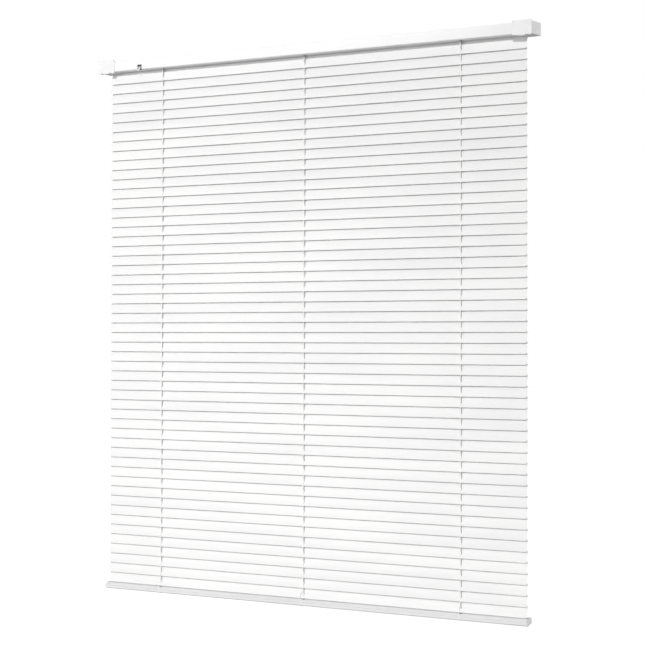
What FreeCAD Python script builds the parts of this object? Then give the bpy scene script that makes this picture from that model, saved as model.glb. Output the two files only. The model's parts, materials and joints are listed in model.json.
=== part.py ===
"""Venetian blind, 25 mm slats, held in two box brackets. Millimetres, +Z up.

The origin is the middle of the four wall screws: X runs along the headrail,
-Y is the side that faces the room and Z = 0 is the middle of the headrail.
"""
import FreeCAD, Part
import math
import os
from FreeCAD import Vector

# Driving dimensions
SLAT_COUNT = 53
SLAT_PITCH = 21.5
SLAT_LENGTH = 1036.0
SLAT_WIDTH = 25.0
SLAT_THICKNESS = 0.5
SLAT_CROWN = 1.2
SLAT_TILT = 75.0            # front edge down
SLAT_CORNER = 3.0
LADDER_X = (-372.5, 0.0, 372.5)
SLOT_LENGTH = 10.0
SLOT_WIDTH = 3.0
STRING_RADIUS = 0.35
STRING_OFFSET = 4.6         # string to slat axis, front and back
CORD_RADIUS = 0.5
CORD_STAGGER = 3.6          # the far right cord leaves the spring unit this far back

RAIL_LENGTH = 1048.0        # headrail channel
RAIL_DEPTH = 37.0
RAIL_HEIGHT = 22.5
RAIL_WALL = 0.8
RAIL_RADIUS = 2.0
ROLLED_EDGE = 3.2
LADDER_HOLE = (6.0, 18.0)    # along X and along Y, in the channel floor
RAIL_BACK_Y = -2.0          # back face, just clear of the bracket's back wall
CENTRE_Y = RAIL_BACK_Y - RAIL_DEPTH / 2
RAIL_FLOOR_Z = -RAIL_HEIGHT / 2 + RAIL_WALL
CAP_PLUG = 10.0             # end cap: length inside the channel
CAP_FLANGE = 1.5
CAP_WALL = 3.0
CAP_THICKNESS = 2.0

BRACKET_WIDTH = 40.0
BRACKET_DEPTH = 41.0
BRACKET_HEIGHT = 25.3
BRACKET_WALL = 1.2
BRACKET_END_X = 538.5       # outer face of each end wall
SCREW_X = 521.0
SCREW_RADIUS = 2.2
WALL_SCREW_SPACING = 13.0
DEPTH_SCREW_Y = (-12.0, -29.0)
FIRST_SLAT_Z = -BRACKET_HEIGHT / 2 - 13.0

COVER_WIDTH = 42.0
COVER_THICKNESS = 1.6
COVER_GAP = 1.6
COVER_BOTTOM_Z = -14.25
COVER_TOP_Z = 14.75
COVER_LIP = 2.4
HINGE_Y = -39.3
HINGE_Z = -BRACKET_HEIGHT / 2 - 1.45
PIN_RADIUS = 0.8
PIN_CLEARANCE = 0.06
KNUCKLE_RADIUS = 1.3
KNUCKLE_STEP = 12.0         # cover middle to each bracket knuckle
KNUCKLE_HALF_WIDTH = 4.0
ARM_HALF_WIDTH = 7.0
RIM_RADIUS = 0.7

ROD_SIDE = 4.0
ROD_Z = 1.0
ROD_START_X = -451.5
ROD_END_X = 400.5
DRUM_RADIUS = 6.15
DRUM_LENGTH = 12.0
JOURNAL_RADIUS = 3.6
JOURNAL_CLEARANCE = 0.05
ROD_CLEARANCE = 0.05
BORE_REACH = 20.0           # cutters pass this far through on each side
CRADLE_HALF_DEPTH = 14.0
CRADLE_BASE = 0.8

TILTER_X = -427.0
WHEEL_RADIUS = 6.0
WHEEL_WIDTH = 6.0
WORM_RADIUS = 2.6
WORM_GAP = 0.35
WORM_LENGTH = 9.0
WORM_JOURNAL = 0.5          # stem standing out above the worm
STEM_RADIUS = 1.9
STEM_LEAN = 35.0            # stem leans forward from straight down
STEM_LENGTH = 27.0
HOOK_RADIUS = 2.4
HOOK_WIRE = 0.8
NOTCH_WIDTH = 12.0
NOTCH_HEIGHT = 11.0
NOTCH_DEPTH = 9.0
CASE_WALL = 2.0
CASE_TOP_Z = 10.2

LIFT_X = -187.8
LIFT_LENGTH = 100.0
LIFT_DEPTH = 32.0
LIFT_HEIGHT = 7.6
LIFT_WALL = 1.4
LIFT_FLOOR = 1.2
LIFT_DRUMS = ((-34.5, 9.5), (-11.5, 12.5), (14.5, 12.5), (37.5, 9.5))    # place along X, radius
LIFT_DRUM_HEIGHT = 5.8
LIFT_FLANGE_RISE = 2.5
FOOT_SPACING = 66.5
FOOT_RADIUS = 1.7

BOTTOM_LENGTH = 1044.0
BOTTOM_DEPTH = 22.0
BOTTOM_HEIGHT = 12.0
BOTTOM_WALL = 1.2
BOTTOM_TILT = 17.0
BOTTOM_DROP = 19.4          # lowest slat's axis to the rail's axis
BOTTOM_LIP = 0.9
LIP_HEIGHT = 1.1
BOTTOM_CROWN = 1.6
BOTTOM_CHAMFER = 3.0
BOTTOM_EAVE = 2.6           # the flat base is this much narrower on each side
CORD_HOLE_RADIUS = 3.0
PLUG_HEIGHT = 2.6
SPIGOT_LENGTH = 8.0
SPIGOT_PLAY = 0.2
CAP_PROUD = 0.6
STRING_STANDOFF = 1.0       # outer string from the bottom rail's front edge
STRING_LIP_DROP = 2.2
KNOT_RISE = 0.6             # cord end above the plug

X_AXIS = Vector(1, 0, 0)
Z_AXIS = Vector(0, 0, 1)


def box(low, high):
    size = [high[i] - low[i] for i in range(3)]
    return Part.makeBox(size[0], size[1], size[2], Vector(*low))


def x_cylinder(radius, start_x, end_x, y, z):
    return Part.makeCylinder(radius, end_x - start_x, Vector(start_x, y, z), X_AXIS)


def save(name, solids):
    """Write one node. Each entry of solids is a separate closed piece."""
    shape = solids[0] if len(solids) == 1 else Part.makeCompound(solids)
    for solid in shape.Solids:
        assert solid.isValid(), name
    shape.exportStep("parts/" + name + ".step")
    print(name, len(shape.Solids), "solids", round(shape.Volume, 1), "mm3")


def rounded_plan(length, width, radius):
    """Rounded rectangle in the XY plane, as a tall prism about Z = 0."""
    plan = Part.makeBox(length, width, 40, Vector(-length / 2, -width / 2, -20))
    upright = [edge for edge in plan.Edges if abs(edge.tangentAt(edge.FirstParameter).z) > 0.9]
    return plan.makeFillet(radius, upright)


# Slats

def flat_slat():
    """One slat lying level, crown up, with its turning axis along X through the origin."""
    half = SLAT_WIDTH / 2
    drop = SLAT_CROWN / 2

    def arc(rise):
        return Part.Arc(Vector(0, -half, rise - drop), Vector(0, 0, rise + SLAT_CROWN - drop),
                        Vector(0, half, rise - drop)).toShape()

    upper = arc(SLAT_THICKNESS / 2)
    lower = arc(-SLAT_THICKNESS / 2)
    ends = [Part.makeLine(upper.Vertexes[i].Point, lower.Vertexes[i].Point) for i in range(2)]
    wire = Part.Wire(Part.__sortEdges__([upper, ends[0], lower, ends[1]]))
    slat = Part.Face(wire).extrude(Vector(SLAT_LENGTH, 0, 0))
    slat.translate(Vector(-SLAT_LENGTH / 2, 0, 0))
    slat = slat.common(rounded_plan(SLAT_LENGTH, SLAT_WIDTH, SLAT_CORNER))
    for ladder_x in LADDER_X:
        slot = rounded_plan(SLOT_WIDTH, SLOT_LENGTH, SLOT_WIDTH / 2 - 0.01)
        slot.translate(Vector(ladder_x, 0, 0))
        slat = slat.cut(slot)
    return slat.Solids[0]


def slat_z(index):
    return FIRST_SLAT_Z - index * SLAT_PITCH


def make_slats():
    level = flat_slat()
    level.rotate(Vector(0, 0, 0), X_AXIS, SLAT_TILT)
    for index in range(SLAT_COUNT):
        slat = level.copy()
        slat.translate(Vector(0, CENTRE_Y, slat_z(index)))
        save("slat_%02d" % (index + 1), [slat])


# Headrail and what is fixed in it

def channel_profile(depth, height, radius):
    """U section, open at the top, its two lower corners rounded, in the YZ plane."""
    left, right = -depth / 2, depth / 2
    low, high = -height / 2, height / 2
    bend = radius * (1 - math.sqrt(0.5))
    front_arc = Part.Arc(Vector(0, left, low + radius), Vector(0, left + bend, low + bend),
                         Vector(0, left + radius, low)).toShape()
    back_arc = Part.Arc(Vector(0, right - radius, low), Vector(0, right - bend, low + bend),
                        Vector(0, right, low + radius)).toShape()
    edges = [Part.makeLine(Vector(0, left, high), Vector(0, left, low + radius)), front_arc,
             Part.makeLine(Vector(0, left + radius, low), Vector(0, right - radius, low)), back_arc,
             Part.makeLine(Vector(0, right, low + radius), Vector(0, right, high)),
             Part.makeLine(Vector(0, right, high), Vector(0, left, high))]
    return Part.Face(Part.Wire(edges))


def stem_direction():
    lean = math.radians(STEM_LEAN)
    return Vector(0, -math.sin(lean), -math.cos(lean))


def worm_centre():
    """Middle of the worm, in front of the wheel and square to the stem."""
    lean = math.radians(STEM_LEAN)
    reach = WHEEL_RADIUS + WORM_GAP + WORM_RADIUS
    return Vector(TILTER_X, CENTRE_Y - reach * math.cos(lean), ROD_Z + reach * math.sin(lean))


def stem_cylinder(radius, start, length):
    """Cylinder on the stem's axis, start measured from the worm's middle."""
    direction = stem_direction()
    return Part.makeCylinder(radius, length, worm_centre() + direction * start, direction)


def make_channel():
    outer = channel_profile(RAIL_DEPTH, RAIL_HEIGHT, RAIL_RADIUS).extrude(X_AXIS * RAIL_LENGTH)
    inner = channel_profile(RAIL_DEPTH - 2 * RAIL_WALL, RAIL_HEIGHT, RAIL_RADIUS - RAIL_WALL)
    inner = inner.extrude(X_AXIS * RAIL_LENGTH)
    inner.translate(Z_AXIS * RAIL_WALL)
    channel = outer.cut(inner)
    channel.translate(Vector(-RAIL_LENGTH / 2, CENTRE_Y, 0))
    for sign in (-1, 1):        # rolled edges along both sides of the open top
        y = CENTRE_Y + sign * (RAIL_DEPTH / 2 - ROLLED_EDGE / 2)
        top = RAIL_HEIGHT / 2
        low = (-RAIL_LENGTH / 2, y - ROLLED_EDGE / 2, top - RAIL_WALL)
        channel = channel.fuse(box(low, (RAIL_LENGTH / 2, y + ROLLED_EDGE / 2, top)))
    channel = channel.removeSplitter()
    for ladder_x in LADDER_X:
        hole = rounded_plan(LADDER_HOLE[0], LADDER_HOLE[1], RAIL_RADIUS)
        hole.translate(Vector(ladder_x, CENTRE_Y, -RAIL_HEIGHT / 2))
        lower = box((ladder_x - 10, CENTRE_Y - 12, -RAIL_HEIGHT), (ladder_x + 10, CENTRE_Y + 12, 0))
        channel = channel.cut(hole.common(lower))
    front = CENTRE_Y - RAIL_DEPTH / 2
    bottom = -RAIL_HEIGHT / 2
    notch = box((TILTER_X - NOTCH_WIDTH / 2, front - 1, bottom - 1),
                (TILTER_X + NOTCH_WIDTH / 2, front + NOTCH_DEPTH, bottom + NOTCH_HEIGHT))
    channel = channel.cut(notch)
    for foot_x in lift_feet_x():
        channel = channel.cut(Part.makeCylinder(FOOT_RADIUS + 0.1, 4, Vector(foot_x, CENTRE_Y, bottom - 1)))
    return channel.Solids[0]


def make_end_cap(sign):
    """Plastic cap pushed into an open end of the channel."""
    margin = RAIL_WALL + 0.1
    plug = channel_profile(RAIL_DEPTH - 2 * margin, RAIL_HEIGHT - 2 * margin, RAIL_RADIUS - RAIL_WALL)
    plug = plug.extrude(X_AXIS * CAP_PLUG)
    half_depth = RAIL_DEPTH / 2 - CAP_WALL
    half_height = RAIL_HEIGHT / 2 - CAP_WALL
    core = box((CAP_THICKNESS, -half_depth, -half_height), (CAP_PLUG + 1, half_depth, half_height))
    plug = plug.cut(core)
    flange = channel_profile(RAIL_DEPTH, RAIL_HEIGHT, RAIL_RADIUS).extrude(X_AXIS * -CAP_FLANGE)
    cap = plug.fuse(flange).removeSplitter()
    cap.translate(Vector(-RAIL_LENGTH / 2, CENTRE_Y, 0))
    return cap if sign < 0 else cap.mirror(Vector(0, 0, 0), X_AXIS)


def across(x, half_x, half_y, low_z, high_z):
    """Block centred on x and on the headrail's middle line."""
    return box((x - half_x, CENTRE_Y - half_y, low_z), (x + half_x, CENTRE_Y + half_y, high_z))


def make_cradle(ladder_x):
    """Bearing block of one ladder: a base with two walls that carry the drum's journals."""
    base_z = RAIL_FLOOR_Z + 0.05
    inner = DRUM_LENGTH / 2 + 0.5
    base_top = base_z + CRADLE_BASE
    wall_top = ROD_Z + JOURNAL_RADIUS + 1.9
    block = across(ladder_x, inner + CASE_WALL, CRADLE_HALF_DEPTH, base_z, wall_top)
    block = block.cut(across(ladder_x, inner, CRADLE_HALF_DEPTH + 1, base_top, wall_top + 1))
    bore_radius = JOURNAL_RADIUS + JOURNAL_CLEARANCE
    bore = x_cylinder(bore_radius, ladder_x - BORE_REACH, ladder_x + BORE_REACH, CENTRE_Y, ROD_Z)
    cord_window = across(ladder_x, BORE_REACH, 5.0, base_top, base_top + 3.6)
    ladder_passage = across(ladder_x, 2.6, 8.5, base_z - 1, base_top + 1)
    return block.cut(bore).cut(cord_window).cut(ladder_passage).Solids[0]


def make_tilter_case():
    """Case round the worm and wheel, open where the rod and the stem pass."""
    room_half = WHEEL_WIDTH / 2 + 0.4
    half = room_half + CASE_WALL
    floor = RAIL_FLOOR_Z + 0.1
    front = CENTRE_Y - RAIL_DEPTH / 2 + RAIL_WALL + 0.2
    back = CENTRE_Y + WHEEL_RADIUS + 5
    case = box((TILTER_X - half, front, floor), (TILTER_X + half, back, CASE_TOP_Z))
    wheel_room = x_cylinder(WHEEL_RADIUS + 0.5, TILTER_X - room_half, TILTER_X + room_half, CENTRE_Y, ROD_Z)
    bore_radius = JOURNAL_RADIUS + JOURNAL_CLEARANCE
    journal = x_cylinder(bore_radius, TILTER_X - BORE_REACH, TILTER_X + BORE_REACH, CENTRE_Y, ROD_Z)
    worm_room = stem_cylinder(WORM_RADIUS + 0.4, -WORM_LENGTH / 2 - 5, WORM_LENGTH + 5.5)
    stem_room = stem_cylinder(STEM_RADIUS + 0.08, WORM_LENGTH / 2, 2 * BORE_REACH)
    case = case.cut(wheel_room).cut(journal).cut(worm_room).cut(stem_room)
    mouth = box((TILTER_X - half - 1, front - 1, floor - 1), (TILTER_X + half + 1, front + 6.5, floor + 6))
    return case.cut(mouth).Solids[0]


def lift_feet_x():
    return (LIFT_X - FOOT_SPACING / 2, LIFT_X + FOOT_SPACING / 2)


def make_lift_unit():
    """Flat spring unit that balances the slats: case, two spring drums and two cord spools."""
    low_z = RAIL_FLOOR_Z + 0.15
    high_z = low_z + LIFT_HEIGHT
    floor_z = low_z + LIFT_FLOOR
    half_x = LIFT_LENGTH / 2
    half_y = LIFT_DEPTH / 2
    case = across(LIFT_X, half_x, half_y, low_z, high_z)
    case = case.cut(across(LIFT_X, half_x - LIFT_WALL, half_y - LIFT_WALL, floor_z, high_z + 1))
    for foot_x in lift_feet_x():
        foot = Part.makeCylinder(FOOT_RADIUS, 2.1, Vector(foot_x, CENTRE_Y, low_z - 1.9))
        case = case.fuse(foot)
    for sign in (-1, 1):        # mouths for the cords in both end walls
        wall_x = LIFT_X + sign * half_x
        case = case.cut(box((wall_x - 2, CENTRE_Y - 2, floor_z), (wall_x + 2, CENTRE_Y + 5, high_z + 1)))
    pieces = [case.removeSplitter().Solids[0]]
    drum_z = floor_z + 0.2
    for step, radius in LIFT_DRUMS:
        x = LIFT_X + step
        hub = Part.makeCylinder(radius - LIFT_FLANGE_RISE, LIFT_DRUM_HEIGHT, Vector(x, CENTRE_Y, drum_z))
        for z in (drum_z, drum_z + LIFT_DRUM_HEIGHT - 1):
            hub = hub.fuse(Part.makeCylinder(radius, 1, Vector(x, CENTRE_Y, z)))
        pieces.append(hub.removeSplitter().Solids[0])
    return pieces


def make_headrail():
    pieces = [make_channel(), make_end_cap(-1), make_end_cap(1)]
    pieces += [make_cradle(ladder_x) for ladder_x in LADDER_X]
    pieces.append(make_tilter_case())
    pieces += make_lift_unit()
    save("headrail", pieces)


# Brackets and their hinged covers

def make_bracket():
    """Right-hand bracket: a box open at the front and towards the headrail."""
    inner_x = BRACKET_END_X - BRACKET_WIDTH
    top = BRACKET_HEIGHT / 2
    shell = box((inner_x, -BRACKET_DEPTH, -top), (BRACKET_END_X, 0, top))
    room = box((inner_x - 1, -BRACKET_DEPTH - 1, -top + BRACKET_WALL),
               (BRACKET_END_X - BRACKET_WALL, -BRACKET_WALL, top - BRACKET_WALL))
    shell = shell.cut(room)
    centres = [cover_centre_x() + side * KNUCKLE_STEP for side in (-1, 1)]
    knuckle_spans = [(x - KNUCKLE_HALF_WIDTH, x + KNUCKLE_HALF_WIDTH) for x in centres]
    for start_x, end_x in knuckle_spans:
        shell = shell.fuse(x_cylinder(KNUCKLE_RADIUS + 0.4, start_x, end_x, HINGE_Y, HINGE_Z))
    shell = shell.fuse(x_cylinder(PIN_RADIUS, knuckle_spans[0][0], knuckle_spans[1][1], HINGE_Y, HINGE_Z))
    for side in (-1, 1):
        z = side * WALL_SCREW_SPACING / 2
        shell = shell.cut(Part.makeCylinder(SCREW_RADIUS, 4, Vector(SCREW_X, -3, z), Vector(0, 1, 0)))
    for y in DEPTH_SCREW_Y:
        shell = shell.cut(Part.makeCylinder(SCREW_RADIUS, 4, Vector(SCREW_X, y, top - 3)))
    return shell.removeSplitter().Solids[0]


def cover_centre_x():
    return BRACKET_END_X - COVER_WIDTH / 2 + 0.4


def make_cover():
    """Right-hand cover: a plate with a lip over the bracket and one knuckle on its pin."""
    back_y = -BRACKET_DEPTH - COVER_GAP
    front_y = back_y - COVER_THICKNESS
    low_x = cover_centre_x() - COVER_WIDTH / 2
    high_x = cover_centre_x() + COVER_WIDTH / 2
    plate = box((low_x, front_y, COVER_BOTTOM_Z), (high_x, back_y, COVER_TOP_Z))
    rim = [edge for edge in plate.Edges if all(abs(v.Y - front_y) < 1e-6 for v in edge.Vertexes)]
    plate = plate.makeFillet(RIM_RADIUS, rim)
    lip = box((low_x, back_y - 0.5, COVER_TOP_Z - 1.1), (high_x, back_y + COVER_LIP, COVER_TOP_Z))
    cover = plate.fuse(lip)
    arm_low_x = cover_centre_x() - ARM_HALF_WIDTH
    arm_high_x = cover_centre_x() + ARM_HALF_WIDTH
    arm_front_y = front_y + 0.4
    cover = cover.fuse(box((arm_low_x, arm_front_y, HINGE_Z - KNUCKLE_RADIUS),
                           (arm_high_x, HINGE_Y, HINGE_Z + 0.5)))
    cover = cover.fuse(box((arm_low_x, arm_front_y, HINGE_Z), (arm_high_x, back_y, COVER_BOTTOM_Z + 1)))
    cover = cover.fuse(x_cylinder(KNUCKLE_RADIUS, arm_low_x, arm_high_x, HINGE_Y, HINGE_Z))
    bore = x_cylinder(PIN_RADIUS + PIN_CLEARANCE, arm_low_x - 1, arm_high_x + 1, HINGE_Y, HINGE_Z)
    return cover.cut(bore).removeSplitter().Solids[0]


def both_ends(right_hand):
    return [right_hand.mirror(Vector(0, 0, 0), X_AXIS), right_hand]


# Tilt shaft and tilter stem

def square_rod(side, start_x, end_x):
    half = side / 2
    return box((start_x, CENTRE_Y - half, ROD_Z - half), (end_x, CENTRE_Y + half, ROD_Z + half))


def make_turning_piece(centre_x, radius, width):
    """Drum or wheel with a journal on each side and a square hole for the rod."""
    piece = x_cylinder(radius, centre_x - width / 2, centre_x + width / 2, CENTRE_Y, ROD_Z)
    reach = width / 2 + 3.0
    piece = piece.fuse(x_cylinder(JOURNAL_RADIUS, centre_x - reach, centre_x + reach, CENTRE_Y, ROD_Z))
    hole = square_rod(ROD_SIDE + 2 * ROD_CLEARANCE, centre_x - 20, centre_x + 20)
    return piece.cut(hole).removeSplitter().Solids[0]


def make_tilt_shaft():
    pieces = [square_rod(ROD_SIDE, ROD_START_X, ROD_END_X)]
    pieces += [make_turning_piece(ladder_x, DRUM_RADIUS, DRUM_LENGTH) for ladder_x in LADDER_X]
    pieces.append(make_turning_piece(TILTER_X, WHEEL_RADIUS, WHEEL_WIDTH))
    save("tilt_shaft", pieces)


def make_tilter_stem():
    """Worm, stem and the open hook that a tilt wand hangs on."""
    worm = stem_cylinder(WORM_RADIUS, -WORM_LENGTH / 2, WORM_LENGTH)
    stem_top = -WORM_LENGTH / 2 - WORM_JOURNAL
    stem = stem_cylinder(STEM_RADIUS, stem_top, STEM_LENGTH)
    direction = stem_direction()
    side = direction.cross(X_AXIS)
    eye = worm_centre() + direction * (stem_top + STEM_LENGTH + HOOK_RADIUS - 0.5)
    path = Part.Arc(eye - direction * HOOK_RADIUS, eye + side * HOOK_RADIUS,
                    eye + direction * HOOK_RADIUS).toShape()
    section = Part.Wire(Part.makeCircle(HOOK_WIRE, eye - direction * HOOK_RADIUS, side))
    hook = Part.Wire(path).makePipeShell([section], True, False)
    return worm.fuse(stem).fuse(hook).removeSplitter().Solids[0]


# Bottom rail

def bottom_z():
    return slat_z(SLAT_COUNT - 1) - BOTTOM_DROP


def place_bottom(shape):
    shape.rotate(Vector(0, 0, 0), X_AXIS, BOTTOM_TILT)
    shape.translate(Vector(0, CENTRE_Y, bottom_z()))
    return shape


def bottom_section(depth, height, lip):
    """Rail section: a gently crowned top that overhangs the sides by lip, over a narrower base."""
    half, low, high = depth / 2, -height / 2, height / 2
    shoulder = high - BOTTOM_CROWN
    base = half - BOTTOM_EAVE
    side = half - lip
    right = [Vector(0, base, low), Vector(0, side, low + BOTTOM_CHAMFER)]
    if lip > 0:
        right += [Vector(0, side, shoulder - LIP_HEIGHT), Vector(0, half, shoulder - LIP_HEIGHT)]
    right.append(Vector(0, half, shoulder))
    left = [Vector(0, -point.y, point.z) for point in reversed(right)]
    edges = [Part.makeLine(a, b) for a, b in zip(right, right[1:])]
    edges.append(Part.Arc(right[-1], Vector(0, 0, high), left[0]).toShape())
    edges += [Part.makeLine(a, b) for a, b in zip(left, left[1:])]
    edges.append(Part.makeLine(left[-1], right[0]))
    return Part.Face(Part.Wire(edges))


def make_bottom_rail():
    span = BOTTOM_LENGTH - 2 * CAP_THICKNESS
    outer = bottom_section(BOTTOM_DEPTH, BOTTOM_HEIGHT, BOTTOM_LIP).extrude(X_AXIS * span)
    hollow_depth = BOTTOM_DEPTH - 2 * (BOTTOM_LIP + BOTTOM_WALL)
    hollow_height = BOTTOM_HEIGHT - 2 * BOTTOM_WALL
    inner = bottom_section(hollow_depth, hollow_height, 0)
    body = outer.cut(inner.extrude(X_AXIS * span))
    body.translate(Vector(-span / 2, 0, 0))
    pieces = []
    for ladder_x in LADDER_X:
        body = body.cut(Part.makeCylinder(CORD_HOLE_RADIUS, 2 * BOTTOM_HEIGHT,
                                          Vector(ladder_x, 0, -BOTTOM_HEIGHT)))
        low = -BOTTOM_HEIGHT / 2
        plug = Part.makeCylinder(CORD_HOLE_RADIUS - 0.1, PLUG_HEIGHT, Vector(ladder_x, 0, low))
        plug = plug.fuse(Part.makeCylinder(CORD_HOLE_RADIUS + 1.6, 1, Vector(ladder_x, 0, low - 1)))
        pieces.append(plug.removeSplitter().Solids[0])
    for sign in (-1, 1):
        cap = bottom_section(BOTTOM_DEPTH + CAP_PROUD, BOTTOM_HEIGHT + CAP_PROUD, 0)
        cap = cap.extrude(X_AXIS * CAP_THICKNESS)
        spigot = bottom_section(hollow_depth - SPIGOT_PLAY, hollow_height - SPIGOT_PLAY, 0)
        cap.translate(Vector(span / 2, 0, 0))
        spigot = spigot.extrude(X_AXIS * -SPIGOT_LENGTH)
        spigot.translate(Vector(span / 2, 0, 0))
        cap = cap.fuse(spigot).removeSplitter().Solids[0]
        pieces.append(cap if sign > 0 else cap.mirror(Vector(0, 0, 0), X_AXIS))
    save("bottom_rail", [place_bottom(piece) for piece in [body.Solids[0]] + pieces])


# Ladders and lift cords

def tube(points, radius, bend):
    """Round tube on straight runs joined by tangent arcs of the given bend radius."""
    edges = []
    start = points[0]
    for before, corner, after in zip(points, points[1:], points[2:]):
        into = (corner - before).normalize()
        out = (after - corner).normalize()
        turn = math.acos(max(-1.0, min(1.0, into.dot(out))))
        setback = bend * math.tan(turn / 2)
        arc_start = corner - into * setback
        arc_end = corner + out * setback
        inward = (out - into).normalize()
        middle = corner + inward * (bend / math.cos(turn / 2) - bend)
        edges.append(Part.makeLine(start, arc_start))
        edges.append(Part.Arc(arc_start, middle, arc_end).toShape())
        start = arc_end
    edges.append(Part.makeLine(start, points[-1]))
    path = Part.Wire(edges)
    section = Part.Wire(Part.makeCircle(radius, points[0], points[1] - points[0]))
    solid = path.makePipeShell([section], True, False)
    print("tube length", round(path.Length, 1), "volume ratio",
          round(solid.Volume / (math.pi * radius ** 2 * path.Length), 4))
    return solid


def ladder_string(ladder_x, side):
    """Vertical string from its drum, past the slat edges, to the bottom rail's edge."""
    drum_y = CENTRE_Y + side * (DRUM_RADIUS + STRING_RADIUS + 0.1)
    run_y = CENTRE_Y + side * STRING_OFFSET
    edge_y = side * (BOTTOM_DEPTH / 2 + STRING_STANDOFF)
    edge = place_bottom(Part.Vertex(0, edge_y, BOTTOM_HEIGHT / 2 - STRING_LIP_DROP)).Point
    last_z = slat_z(SLAT_COUNT - 1)
    points = [Vector(ladder_x, drum_y, ROD_Z), Vector(ladder_x, drum_y, -RAIL_HEIGHT / 2 + 1),
              Vector(ladder_x, run_y, slat_z(0) + 3), Vector(ladder_x, run_y, last_z - 3),
              Vector(ladder_x, edge.y, edge.z)]
    return tube(points, STRING_RADIUS, 6.0)


def lift_cord(ladder_x):
    """Lift cord from the spring unit, along the channel, down through the slats into the rail."""
    side = 1 if ladder_x > LIFT_X else -1
    run_z = RAIL_FLOOR_Z + 2.0
    start_y = CENTRE_Y + (CORD_STAGGER if ladder_x > 0 else 0)
    bottom = place_bottom(Part.Vertex(0, 0, PLUG_HEIGHT + KNOT_RISE - BOTTOM_HEIGHT / 2)).Point
    points = [Vector(LIFT_X + side * (LIFT_LENGTH / 2 - 1), start_y, run_z),
              Vector(ladder_x, CENTRE_Y, run_z), Vector(ladder_x, CENTRE_Y, bottom.z)]
    return tube(points, CORD_RADIUS, 1.2)


def make_ladders_and_cords():
    pieces = [ladder_string(ladder_x, side) for ladder_x in LADDER_X for side in (-1, 1)]
    pieces += [lift_cord(ladder_x) for ladder_x in LADDER_X]
    save("ladders_and_cords", pieces)


os.makedirs("parts", exist_ok=True)
make_slats()
make_headrail()
save("mounting_brackets", both_ends(make_bracket()))
save("bracket_covers", both_ends(make_cover()))
make_tilt_shaft()
save("tilter_stem", [make_tilter_stem()])
make_bottom_rail()
make_ladders_and_cords()
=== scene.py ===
"""Venetian blind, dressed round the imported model. Metres, in the row's frame: the room is at -Y."""
import bmesh
import bpy
import json
import math
import random
from mathutils import Matrix, Vector


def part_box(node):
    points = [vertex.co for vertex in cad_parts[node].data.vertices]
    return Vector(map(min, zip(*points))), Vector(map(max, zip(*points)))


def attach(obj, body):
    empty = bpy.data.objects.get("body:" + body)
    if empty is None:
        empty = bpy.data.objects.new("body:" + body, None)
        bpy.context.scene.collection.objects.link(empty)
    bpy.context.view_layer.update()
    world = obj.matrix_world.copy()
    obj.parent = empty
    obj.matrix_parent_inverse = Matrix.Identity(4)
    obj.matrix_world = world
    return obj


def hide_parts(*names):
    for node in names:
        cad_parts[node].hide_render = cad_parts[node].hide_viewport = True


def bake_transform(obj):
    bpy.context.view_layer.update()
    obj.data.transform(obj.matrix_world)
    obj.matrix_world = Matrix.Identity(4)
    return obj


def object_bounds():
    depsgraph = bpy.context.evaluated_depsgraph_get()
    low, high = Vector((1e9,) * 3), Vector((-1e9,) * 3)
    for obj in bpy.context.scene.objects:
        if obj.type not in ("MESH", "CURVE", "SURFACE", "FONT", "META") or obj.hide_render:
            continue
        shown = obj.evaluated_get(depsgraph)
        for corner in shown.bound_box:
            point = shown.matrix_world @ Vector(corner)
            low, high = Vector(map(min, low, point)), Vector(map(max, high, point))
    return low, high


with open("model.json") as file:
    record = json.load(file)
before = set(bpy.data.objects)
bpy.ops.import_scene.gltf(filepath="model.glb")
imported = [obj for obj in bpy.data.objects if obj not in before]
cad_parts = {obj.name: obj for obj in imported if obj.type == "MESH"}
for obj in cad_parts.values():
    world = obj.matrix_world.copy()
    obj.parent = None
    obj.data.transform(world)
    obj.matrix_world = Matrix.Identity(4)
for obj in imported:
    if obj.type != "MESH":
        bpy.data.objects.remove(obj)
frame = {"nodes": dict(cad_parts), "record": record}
cad_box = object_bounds()
JOINTS = {joint["name"]: joint for joint in frame["record"]["behaviour"]["joints"]}
ROOT = "headrail_and_brackets"
LOW = cad_box[0]

# Sizes that the CAD source also states
SLAT_COUNT = 53
LADDER_X = (-0.3725, 0.0, 0.3725)
LIFT_X = -0.1878
CORD_STAGGER = 0.0036
TILTER_X = -0.427
SLAT_TILT = math.radians(75)
SLAT_HALF = 0.0125
STRING_OFFSET = 0.0046
BOTTOM_TILT = math.radians(17)
BOTTOM_HALF_DEPTH = 0.011
BOTTOM_HALF_HEIGHT = 0.006
COVER_WIDTH = 0.042
COVER_THICKNESS = 0.0016

# Threads: strings and cords are thicker than in the CAD source, and only this file has rungs
STRING_RADIUS = 0.00055
STRING_CLEARANCE = 0.0002
CORD_RADIUS = 0.0009
RUNG_RADIUS = 0.00022

NOISE_LOW, NOISE_HIGH = 0.3, 0.7    # where most of a noise texture's values lie
LONG_PIECE = 0.5                    # only the channel, the rod and the rail's body are longer
CAP_X = 0.48                        # in the headrail, only the end caps reach beyond
TILTER_REACH = 0.01                 # only the tilter case has its middle this near TILTER_X
PLACE_STEPS = 1e6                   # corner places are compared to a micrometre


def joint_point(name):
    return Vector(JOINTS[name]["pos_m"])


SLAT_AXES = [joint_point("slat_%02d_tilt" % (i + 1)) for i in range(SLAT_COUNT)]
CENTRE_Y = SLAT_AXES[0].y
RAIL_AXIS = joint_point("bottom_rail_rock")


# Materials

def start_material(name):
    """New material with its Principled shader and object coordinates in metres."""
    material = bpy.data.materials.new(name)
    material.use_nodes = True
    tree = material.node_tree
    shader = next(node for node in tree.nodes if node.type == "BSDF_PRINCIPLED")
    place = tree.nodes.new("ShaderNodeTexCoord")
    return material, tree, shader, place.outputs["Object"]


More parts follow.
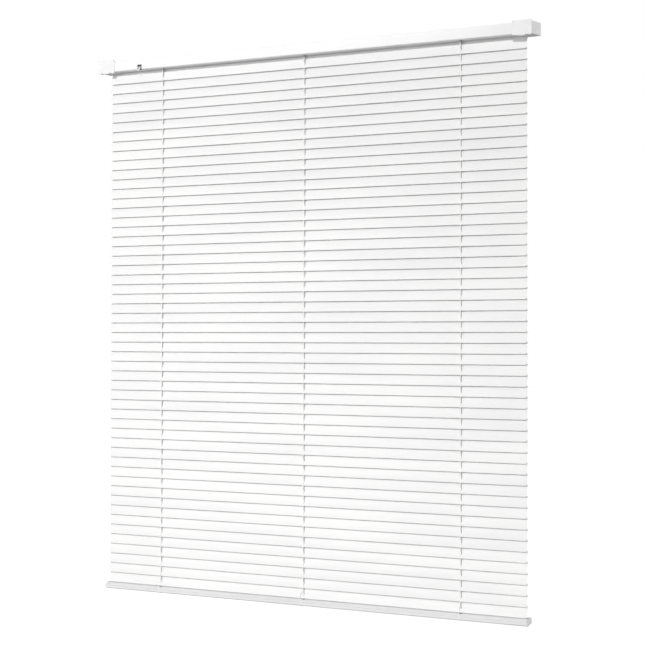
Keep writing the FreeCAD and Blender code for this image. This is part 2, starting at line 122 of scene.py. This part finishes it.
def noise(tree, place, stretch, detail=4.0, distortion=0.0):
    """Noise whose grains are 1 / stretch metres along each axis."""
    mapping = tree.nodes.new("ShaderNodeMapping")
    mapping.inputs["Scale"].default_value = stretch
    tree.links.new(place, mapping.inputs["Vector"])
    texture = tree.nodes.new("ShaderNodeTexNoise")
    texture.inputs["Scale"].default_value = 1.0
    texture.inputs["Detail"].default_value = detail
    texture.inputs["Distortion"].default_value = distortion
    tree.links.new(mapping.outputs["Vector"], texture.inputs["Vector"])
    return texture.outputs["Fac"]


def spread(tree, value, low, high):
    """Maps the middle of a noise onto low to high."""
    mapped = tree.nodes.new("ShaderNodeMapRange")
    for label, number in (("From Min", NOISE_LOW), ("From Max", NOISE_HIGH),
                          ("To Min", low), ("To Max", high)):
        mapped.inputs[label].default_value = number
    tree.links.new(value, mapped.inputs["Value"])
    return mapped.outputs["Result"]


def tint(tree, value, shader, dark, light):
    """Base colour from dark to light over the middle of a noise."""
    ramp = tree.nodes.new("ShaderNodeValToRGB")
    stops = zip(ramp.color_ramp.elements, (NOISE_LOW, NOISE_HIGH), (dark, light))
    for element, position, colour in stops:
        element.position = position
        element.color = (*colour, 1.0)
    tree.links.new(value, ramp.inputs["Fac"])
    tree.links.new(ramp.outputs["Color"], shader.inputs["Base Color"])


def relief(tree, shader, layers):
    """Stacks bumps, each given as (height, depth in metres)."""
    normal = None
    for height, depth in layers:
        bump = tree.nodes.new("ShaderNodeBump")
        bump.inputs["Strength"].default_value = 1.0
        bump.inputs["Distance"].default_value = depth
        tree.links.new(height, bump.inputs["Height"])
        if normal:
            tree.links.new(normal, bump.inputs["Normal"])
        normal = bump.outputs["Normal"]
    tree.links.new(normal, shader.inputs["Normal"])


def vinyl(name, dark, light, rough, grain=900.0):
    """Extruded vinyl: streaks along X, a fine satin grain and slow drifts of tone and gloss."""
    material, tree, shader, place = start_material(name)
    drift = noise(tree, place, (3.0, 18.0, 18.0), detail=3.0)
    streaks = noise(tree, place, (5.0, 700.0, 700.0), detail=5.0)
    fine = noise(tree, place, (grain, grain, grain), detail=3.0)
    tint(tree, drift, shader, dark, light)
    tree.links.new(spread(tree, streaks, rough - 0.06, rough + 0.07), shader.inputs["Roughness"])
    relief(tree, shader, [(streaks, 0.00002), (fine, 0.00001)])
    shader.inputs["Specular IOR Level"].default_value = 0.45
    shader.inputs["Subsurface Weight"].default_value = 0.06
    shader.inputs["Subsurface Radius"].default_value = (0.002, 0.002, 0.002)
    return material


def enamel(name, dark, light):
    """Baked enamel on rolled steel: orange peel over faint rolling marks, gloss that wanders."""
    material, tree, shader, place = start_material(name)
    peel = noise(tree, place, (420.0, 420.0, 420.0), detail=2.0)
    rolling = noise(tree, place, (4.0, 260.0, 260.0), detail=4.0)
    drift = noise(tree, place, (4.0, 30.0, 30.0), detail=3.0)
    tint(tree, drift, shader, dark, light)
    tree.links.new(spread(tree, peel, 0.30, 0.40), shader.inputs["Roughness"])
    relief(tree, shader, [(rolling, 0.00002), (peel, 0.00003)])
    shader.inputs["Coat Weight"].default_value = 0.25
    shader.inputs["Coat Roughness"].default_value = 0.2
    return material


def moulded(name, dark, light, rough=0.42):
    """Injection moulding: spark-eroded texture with soft flow marks."""
    material, tree, shader, place = start_material(name)
    spark = noise(tree, place, (1500.0, 1500.0, 1500.0), detail=4.0)
    flow = noise(tree, place, (45.0, 60.0, 90.0), detail=3.0, distortion=0.8)
    tint(tree, flow, shader, dark, light)
    tree.links.new(spread(tree, spark, rough - 0.05, rough + 0.08), shader.inputs["Roughness"])
    relief(tree, shader, [(spark, 0.000025)])
    return material


def plated_steel(name):
    """Bright zinc plate with drawing marks along X and clouded passivation."""
    material, tree, shader, place = start_material(name)
    drawn = noise(tree, place, (12.0, 2600.0, 2600.0), detail=5.0)
    cloud = noise(tree, place, (40.0, 90.0, 90.0), detail=4.0, distortion=1.0)
    tint(tree, cloud, shader, (0.52, 0.53, 0.55), (0.72, 0.72, 0.71))
    tree.links.new(spread(tree, drawn, 0.24, 0.46), shader.inputs["Roughness"])
    relief(tree, shader, [(drawn, 0.00002)])
    shader.inputs["Metallic"].default_value = 1.0
    return material


def braid(name, dark, light, pitch):
    """Braided polyester: diagonal plaits along Z with fibres over them."""
    material, tree, shader, place = start_material(name)
    mapping = tree.nodes.new("ShaderNodeMapping")
    mapping.inputs["Scale"].default_value = (1 / pitch, 1 / pitch, 1 / pitch)
    mapping.inputs["Rotation"].default_value = (0.0, math.radians(38), 0.0)
    tree.links.new(place, mapping.inputs["Vector"])
    plait = tree.nodes.new("ShaderNodeTexWave")
    plait.bands_direction = "Z"
    plait.inputs["Scale"].default_value = 0.5
    plait.inputs["Distortion"].default_value = 0.6
    tree.links.new(mapping.outputs["Vector"], plait.inputs["Vector"])
    fibre = noise(tree, place, (4000.0, 4000.0, 900.0), detail=3.0)
    tint(tree, plait.outputs["Fac"], shader, dark, light)
    tree.links.new(spread(tree, fibre, 0.7, 0.95), shader.inputs["Roughness"])
    relief(tree, shader, [(plait.outputs["Fac"], 0.0001), (fibre, 0.00004)])
    shader.inputs["Sheen Weight"].default_value = 0.2
    return material


SLAT_VINYL = vinyl("slat_vinyl", (0.80, 0.80, 0.80), (0.85, 0.85, 0.845), 0.42)
RAIL_VINYL = vinyl("bottom_rail_vinyl", (0.80, 0.80, 0.80), (0.85, 0.85, 0.85), 0.40, 700.0)
ENAMEL = enamel("rail_enamel", (0.80, 0.80, 0.80), (0.85, 0.85, 0.85))
BRACKET = moulded("bracket_plastic", (0.79, 0.79, 0.79), (0.84, 0.84, 0.84), 0.36)
CAP = moulded("cap_plastic", (0.74, 0.74, 0.74), (0.80, 0.80, 0.80), 0.38)
BEARING = moulded("bearing_plastic", (0.66, 0.67, 0.68), (0.74, 0.74, 0.75), 0.45)
STEM = moulded("stem_plastic", (0.72, 0.72, 0.72), (0.80, 0.80, 0.80), 0.3)
STEEL = plated_steel("rod_steel")
STRING = braid("ladder_string", (0.84, 0.84, 0.83), (0.93, 0.93, 0.92), 0.0009)
# Painted shade: the tilter case is near black to stand for the deep shadow inside the channel, seen
# through the tilter's notch.
CASE_PAINTED_SHADE = moulded("tilter_case_painted_shade", (0.045, 0.045, 0.05), (0.07, 0.07, 0.075), 0.5)
# Painted shade: the lift cord is mid grey, darker than an off-white cord, to stand for the shade seen
# through the slats' slots.
CORD_PAINTED_SHADE = braid("lift_cord_painted_shade", (0.30, 0.30, 0.30), (0.46, 0.46, 0.46), 0.0014)


def islands(mesh):
    """Groups of polygons that share corner places, one group for each solid of a node."""
    parent = {}

    def top(key):
        while parent[key] != key:
            parent[key] = parent[parent[key]]
            key = parent[key]
        return key

    keys = [tuple(round(c * PLACE_STEPS) for c in vertex.co) for vertex in mesh.vertices]
    for key in keys:
        parent.setdefault(key, key)
    for polygon in mesh.polygons:
        first = top(keys[polygon.vertices[0]])
        for index in polygon.vertices[1:]:
            parent[top(keys[index])] = first
    groups = {}
    for polygon in mesh.polygons:
        groups.setdefault(top(keys[polygon.vertices[0]]), []).append(polygon)
    return list(groups.values())


def group_box(mesh, polygons):
    places = [mesh.vertices[i].co for polygon in polygons for i in polygon.vertices]
    return (Vector([min(p[k] for p in places) for k in range(3)]),
            Vector([max(p[k] for p in places) for k in range(3)]))


def only_one(low, high):
    return 0


def long_or_short(low, high):
    """0 for the long body, 1 for the small pieces beside it."""
    return 0 if high.x - low.x > LONG_PIECE else 1


def headrail_piece(low, high):
    """0 for the channel, 1 for an end cap, 3 for the tilter case, 2 for the other pieces."""
    if high.x - low.x > LONG_PIECE:
        return 0
    if max(abs(low.x), abs(high.x)) > CAP_X:
        return 1
    return 3 if abs((low.x + high.x) / 2 - TILTER_X) < TILTER_REACH else 2


def finish_node(node, materials, choose=only_one):
    """Gives each solid of a CAD node the material that choose(low, high) picks."""
    mesh = frame["nodes"][node].data
    mesh.materials.clear()
    for material in materials:
        mesh.materials.append(material)
    for polygons in islands(mesh):
        index = choose(*group_box(mesh, polygons))
        for polygon in polygons:
            polygon.material_index = index


finish_node("headrail", (ENAMEL, CAP, BEARING, CASE_PAINTED_SHADE), headrail_piece)
finish_node("tilt_shaft", (STEEL, BEARING), long_or_short)
finish_node("bottom_rail", (RAIL_VINYL, CAP), long_or_short)
finish_node("mounting_brackets", (BRACKET,))
finish_node("bracket_covers", (BRACKET,))
finish_node("tilter_stem", (STEM,))
for number in range(1, SLAT_COUNT + 1):
    finish_node("slat_%02d" % number, (SLAT_VINYL,))


def cover_return(side):
    """Lip at the cover's inner edge that turns back towards the headrail and closes the gap."""
    low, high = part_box("bracket_covers")
    thickness = 0.0013
    clearance = 0.0003    # from the headrail's face
    inset = 0.0009        # once below the cover's top, and three times above its bottom
    rounding = 0.0003
    inner_x = side * (high.x - COVER_WIDTH)
    outer_x = inner_x + side * thickness
    front_y = low.y + COVER_THICKNESS
    back_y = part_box("headrail")[0].y - clearance
    mesh = bpy.data.meshes.new("cover_return")
    strip = bmesh.new()
    bmesh.ops.create_cube(strip, size=1.0)
    size = Vector((thickness, back_y - front_y, high.z - low.z - 4 * inset))
    middle = Vector(((inner_x + outer_x) / 2, (front_y + back_y) / 2,
                     (high.z + low.z) / 2 + inset))
    for vertex in strip.verts:
        vertex.co = Vector([middle[k] + vertex.co[k] * size[k] for k in range(3)])
    bmesh.ops.bevel(strip, geom=strip.edges[:], offset=rounding, segments=3, profile=0.5,
                    affect="EDGES")
    bmesh.ops.recalc_face_normals(strip, faces=strip.faces[:])
    strip.to_mesh(mesh)
    strip.free()
    mesh.materials.append(BRACKET)
    piece = bpy.data.objects.new("cover_return_left" if side < 0 else "cover_return_right", mesh)
    bpy.context.scene.collection.objects.link(piece)
    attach(piece, "bracket_covers")


cover_return(-1)
cover_return(1)


# Ladders and cords

def tube(name, lines, radius, material, sides=8):
    """One mesh of round tubes along the given lines of points, closed at both ends."""
    nearly_parallel = 0.9
    vertices, faces = [], []
    for points in lines:
        across = Vector((1, 0, 0))
        first = len(vertices)
        for i, point in enumerate(points):
            along = (points[min(i + 1, len(points) - 1)] - points[max(i - 1, 0)]).normalized()
            if abs(along.dot(across)) > nearly_parallel:
                across = Vector((0, 0, 1))
            u = (across - along * across.dot(along)).normalized()
            v = along.cross(u)
            across = u
            for k in range(sides):
                turn = 2 * math.pi * k / sides
                vertices.append(point + (u * math.cos(turn) + v * math.sin(turn)) * radius)
        for i in range(len(points) - 1):
            for k in range(sides):
                a = first + i * sides + k
                b = first + i * sides + (k + 1) % sides
                faces.append((a, b, b + sides, a + sides))
        last = first + (len(points) - 1) * sides
        faces.append(tuple(first + k for k in reversed(range(sides))))
        faces.append(tuple(last + k for k in range(sides)))
    mesh = bpy.data.meshes.new(name)
    mesh.from_pydata(vertices, [], faces)
    mesh.shade_smooth()
    mesh.materials.append(material)
    piece = bpy.data.objects.new(name, mesh)
    bpy.context.scene.collection.objects.link(piece)
    return piece


def rail_point(y, z):
    """Point of the bottom rail's own section, turned to the rail's lean and put in place."""
    c, s = math.cos(BOTTOM_TILT), math.sin(BOTTOM_TILT)
    return Vector((0, RAIL_AXIS.y + y * c - z * s, RAIL_AXIS.z + y * s + z * c))


def smooth_line(points, steps=6):
    """Catmull-Rom line through the points."""
    padded = [points[0] * 2 - points[1]] + points + [points[-1] * 2 - points[-2]]
    line = []
    for a, b, c, d in zip(padded, padded[1:], padded[2:], padded[3:]):
        for k in range(steps):
            t = k / steps
            line.append(0.5 * ((b * 2) + (c - a) * t + (a * 2 - b * 5 + c * 4 - d) * t * t
                               + (b * 3 - a - c * 3 + d) * t ** 3))
    return line + [points[-1]]


def ladder_string(number, ladder_x, side, draw):
    """Front (side -1) or back string: a run past the slats, then a loop under the bottom rail."""
    drum_reach = 0.0066       # from the rod's axis to the string on its drum
    drum_drop = 0.010         # straight fall below the drum
    bend_rise = 0.012         # middle of the bend, above the first slat's axis
    sway = 0.0003
    edge_rise = 0.0121        # a slat's edge above or below its axis at rest
    rail_gap = 0.0008         # string's middle to the bottom rail's faces
    lip_z, flank_z = 0.0022, -0.0005
    chamfer = 0.0030
    knot_y = 0.0052
    bulge = 0.0012
    middle_slack, other_slack = -0.0045, 0.0008

    label = "front" if side < 0 else "back"
    top_z = joint_point("tilt").z
    drum_y = CENTRE_Y + side * drum_reach
    run_y = CENTRE_Y + side * (STRING_OFFSET + STRING_CLEARANCE)
    points = [Vector((ladder_x, drum_y, top_z)), Vector((ladder_x, drum_y, top_z - drum_drop)),
              Vector((ladder_x, (drum_y + run_y) / 2, SLAT_AXES[0].z + bend_rise))]
    for axis in SLAT_AXES[:-1]:
        shift = draw.uniform(-sway, sway)
        points.append(Vector((ladder_x + shift, run_y, axis.z + side * edge_rise)))
    run = tube("ladder_%d_%s_string" % (number, label), [smooth_line(points, 4)],
               STRING_RADIUS, STRING)
    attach(run, ROOT)

    half = BOTTOM_HALF_DEPTH + rail_gap
    under = -BOTTOM_HALF_HEIGHT - rail_gap
    corner = [(side * half, lip_z), (side * half, flank_z), (side * (half - chamfer), under),
              (side * knot_y, under)]
    if ladder_x == 0 and side < 0:
        slack = middle_slack
    else:
        slack = draw.uniform(-other_slack, other_slack)
    middle = (points[-1] + rail_point(*corner[0])) / 2
    tail = [points[-1], Vector((ladder_x + slack, middle.y + side * bulge, middle.z))]
    for y, z in corner:
        tail.append(rail_point(y, z) + Vector((ladder_x, 0, 0)))
    end = tube("ladder_%d_%s_loop" % (number, label), [smooth_line(tail)], STRING_RADIUS, STRING)
    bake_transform(end)


def lift_cord_painted_shade(number, ladder_x, draw):
    """Lift cord inside the channel and down through the slats' slots into the rail."""
    floor_rise = 0.0040       # cord above the channel's underside
    exit_reach = 0.049        # from the lift unit's middle to where the cord leaves it
    bend = 0.002              # size of the turn down through the channel's floor
    first_sag = 0.0004
    sway = 0.0005
    knot_rise = 0.001         # cord's end above the bottom rail's axis

    low_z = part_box("headrail")[0].z + floor_rise
    unit_x = LIFT_X + (exit_reach if ladder_x > LIFT_X else -exit_reach)
    start_y = CENTRE_Y + (CORD_STAGGER if ladder_x > 0 else 0.0)
    turn = bend if ladder_x > LIFT_X else -bend
    points = [Vector((unit_x, start_y, low_z)), Vector((ladder_x - turn * 4, CENTRE_Y, low_z)),
              Vector((ladder_x - turn, CENTRE_Y, low_z - first_sag)),
              Vector((ladder_x, CENTRE_Y, low_z - bend))]
    for axis in SLAT_AXES:
        points.append(Vector((ladder_x + draw.uniform(-sway, sway), CENTRE_Y, axis.z)))
    end = rail_point(0, knot_rise)
    points.append(Vector((ladder_x, end.y, end.z)))
    cord = tube("lift_cord_%d" % number, [smooth_line(points, 4)], CORD_RADIUS, CORD_PAINTED_SHADE)
    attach(cord, ROOT)
    return cord


def slat_point(axis, along, above):
    """Point of a slat's section at rest: along from front to back edge, above towards its crown."""
    c, s = math.cos(SLAT_TILT), math.sin(SLAT_TILT)
    return Vector((0, axis.y + along * c - above * s, axis.z + along * s + above * c))


def rungs(number, axis):
    """The threads of the three ladders that one slat lies on."""
    spacing = 0.0011                            # half the space between a rung's two threads
    overhang, tip_rise = 0.0012, 0.0004         # a thread's ends, past the slat's edges
    edge_inset, edge_drop = 0.0008, 0.0013      # where it passes under an edge
    middle_drop = 0.0009
    section = [(-SLAT_HALF - overhang, tip_rise), (-SLAT_HALF + edge_inset, -edge_drop),
               (0.0, -middle_drop), (SLAT_HALF - edge_inset, -edge_drop),
               (SLAT_HALF + overhang, tip_rise)]
    lines = []
    for ladder_x in LADDER_X:
        for shift in (-spacing, spacing):
            lines.append([slat_point(axis, along, above) + Vector((ladder_x + shift, 0, 0))
                          for along, above in section])
    piece = tube("rungs_%02d" % number, [smooth_line(line, 3) for line in lines],
                 RUNG_RADIUS, STRING, 6)
    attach(piece, "slat_%02d" % number)


draw = random.Random(7)
for number, ladder_x in enumerate(LADDER_X, 1):
    for side in (-1, 1):
        ladder_string(number, ladder_x, side, draw)
    lift_cord_painted_shade(number, ladder_x, draw)
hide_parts("ladders_and_cords")
for number, axis in enumerate(SLAT_AXES, 1):
    rungs(number, axis)


# Floor, light and camera

def camera_level(tree, others, camera):
    """Strength that differs between what the camera sees and what lights the object."""
    path = tree.nodes.new("ShaderNodeLightPath")
    level = tree.nodes.new("ShaderNodeMapRange")
    level.inputs["To Min"].default_value = others
    level.inputs["To Max"].default_value = camera
    tree.links.new(path.outputs["Is Camera Ray"], level.inputs["Value"])
    return level.outputs["Result"]


def make_floor():
    """Pale floor a little below the blind, so bright that it runs into the white backdrop."""
    reach, drop = 9.0, 0.25
    mesh = bpy.data.meshes.new("floor")
    corners = [(-reach, -reach), (reach, -reach), (reach, reach), (-reach, reach)]
    mesh.from_pydata([(x, y, LOW.z - drop) for x, y in corners], [], [(0, 1, 2, 3)])
    material, tree, shader, place = start_material("floor_paper")
    tint(tree, noise(tree, place, (2.0, 2.0, 2.0)), shader, (0.60, 0.60, 0.60), (0.66, 0.66, 0.66))
    shader.inputs["Roughness"].default_value = 0.9
    shader.inputs["Emission Color"].default_value = (1.0, 1.0, 1.0, 1.0)
    tree.links.new(camera_level(tree, 0.0, 0.9), shader.inputs["Emission Strength"])
    mesh.materials.append(material)
    floor = bpy.data.objects.new("floor", mesh)
    bpy.context.scene.collection.objects.link(floor)


def aim(light, place, target):
    light.location = place
    light.rotation_euler = (Vector(target) - Vector(place)).to_track_quat("-Z", "Y").to_euler()
    bpy.context.scene.collection.objects.link(light)


def area_light(name, place, target, size, power):
    data = bpy.data.lights.new(name, "AREA")
    data.shape = "DISK"
    data.size = size
    data.energy = power
    aim(bpy.data.objects.new(name, data), place, target)


def sun_light(name, place, strength, spread_degrees):
    data = bpy.data.lights.new(name, "SUN")
    data.energy = strength
    data.angle = math.radians(spread_degrees)
    aim(bpy.data.objects.new(name, data), place, (0.0, 0.0, 0.0))


def make_world():
    """White for the camera, and a softer even light for everything else."""
    world = bpy.data.worlds.new("studio")
    world.use_nodes = True
    tree = world.node_tree
    background = tree.nodes["Background"]
    background.inputs["Color"].default_value = (1.0, 1.0, 1.0, 1.0)
    tree.links.new(camera_level(tree, 0.22, 1.0), background.inputs["Strength"])
    bpy.context.scene.world = world


def make_camera():
    """Camera to the front and right of the blind, about level with its middle, slightly rolled."""
    place = (2.1118, -3.3294, -0.6103)
    azimuth, rise, roll = math.radians(32), math.radians(1.495), math.radians(0.115)
    level_right = Vector((math.cos(azimuth), math.sin(azimuth), 0))
    look = Vector((-math.sin(azimuth) * math.cos(rise), math.cos(azimuth) * math.cos(rise),
                   math.sin(rise)))
    level_up = level_right.cross(look)
    right = level_right * math.cos(roll) + level_up * math.sin(roll)
    up = right.cross(look)
    data = bpy.data.cameras.new("camera")
    data.sensor_width = 36.0
    data.lens = 103.87
    data.shift_y = -0.0504
    camera = bpy.data.objects.new("camera", data)
    turned = Matrix((right, up, -look)).transposed().to_4x4()
    camera.matrix_world = Matrix.Translation(place) @ turned
    bpy.context.scene.collection.objects.link(camera)
    bpy.context.scene.camera = camera


make_floor()
make_world()
sun_light("key", (0.40, -1.0, 0.41), 1.86, 3.0)
area_light("left", (-1.4, -2.3, 0.2), (-0.3, 0.0, -0.4), 1.4, 21.0)
sun_light("side", (1.0, -0.08, 0.12), 1.1, 8.0)
sun_light("back", (0.3, 1.0, -0.15), 0.35, 12.0)
area_light("low", (0.1, -1.0, LOW.z - 0.2), (0.0, CENTRE_Y, LOW.z), 1.2, 1.8)
make_camera()
bpy.context.scene.view_settings.view_transform = "Standard"
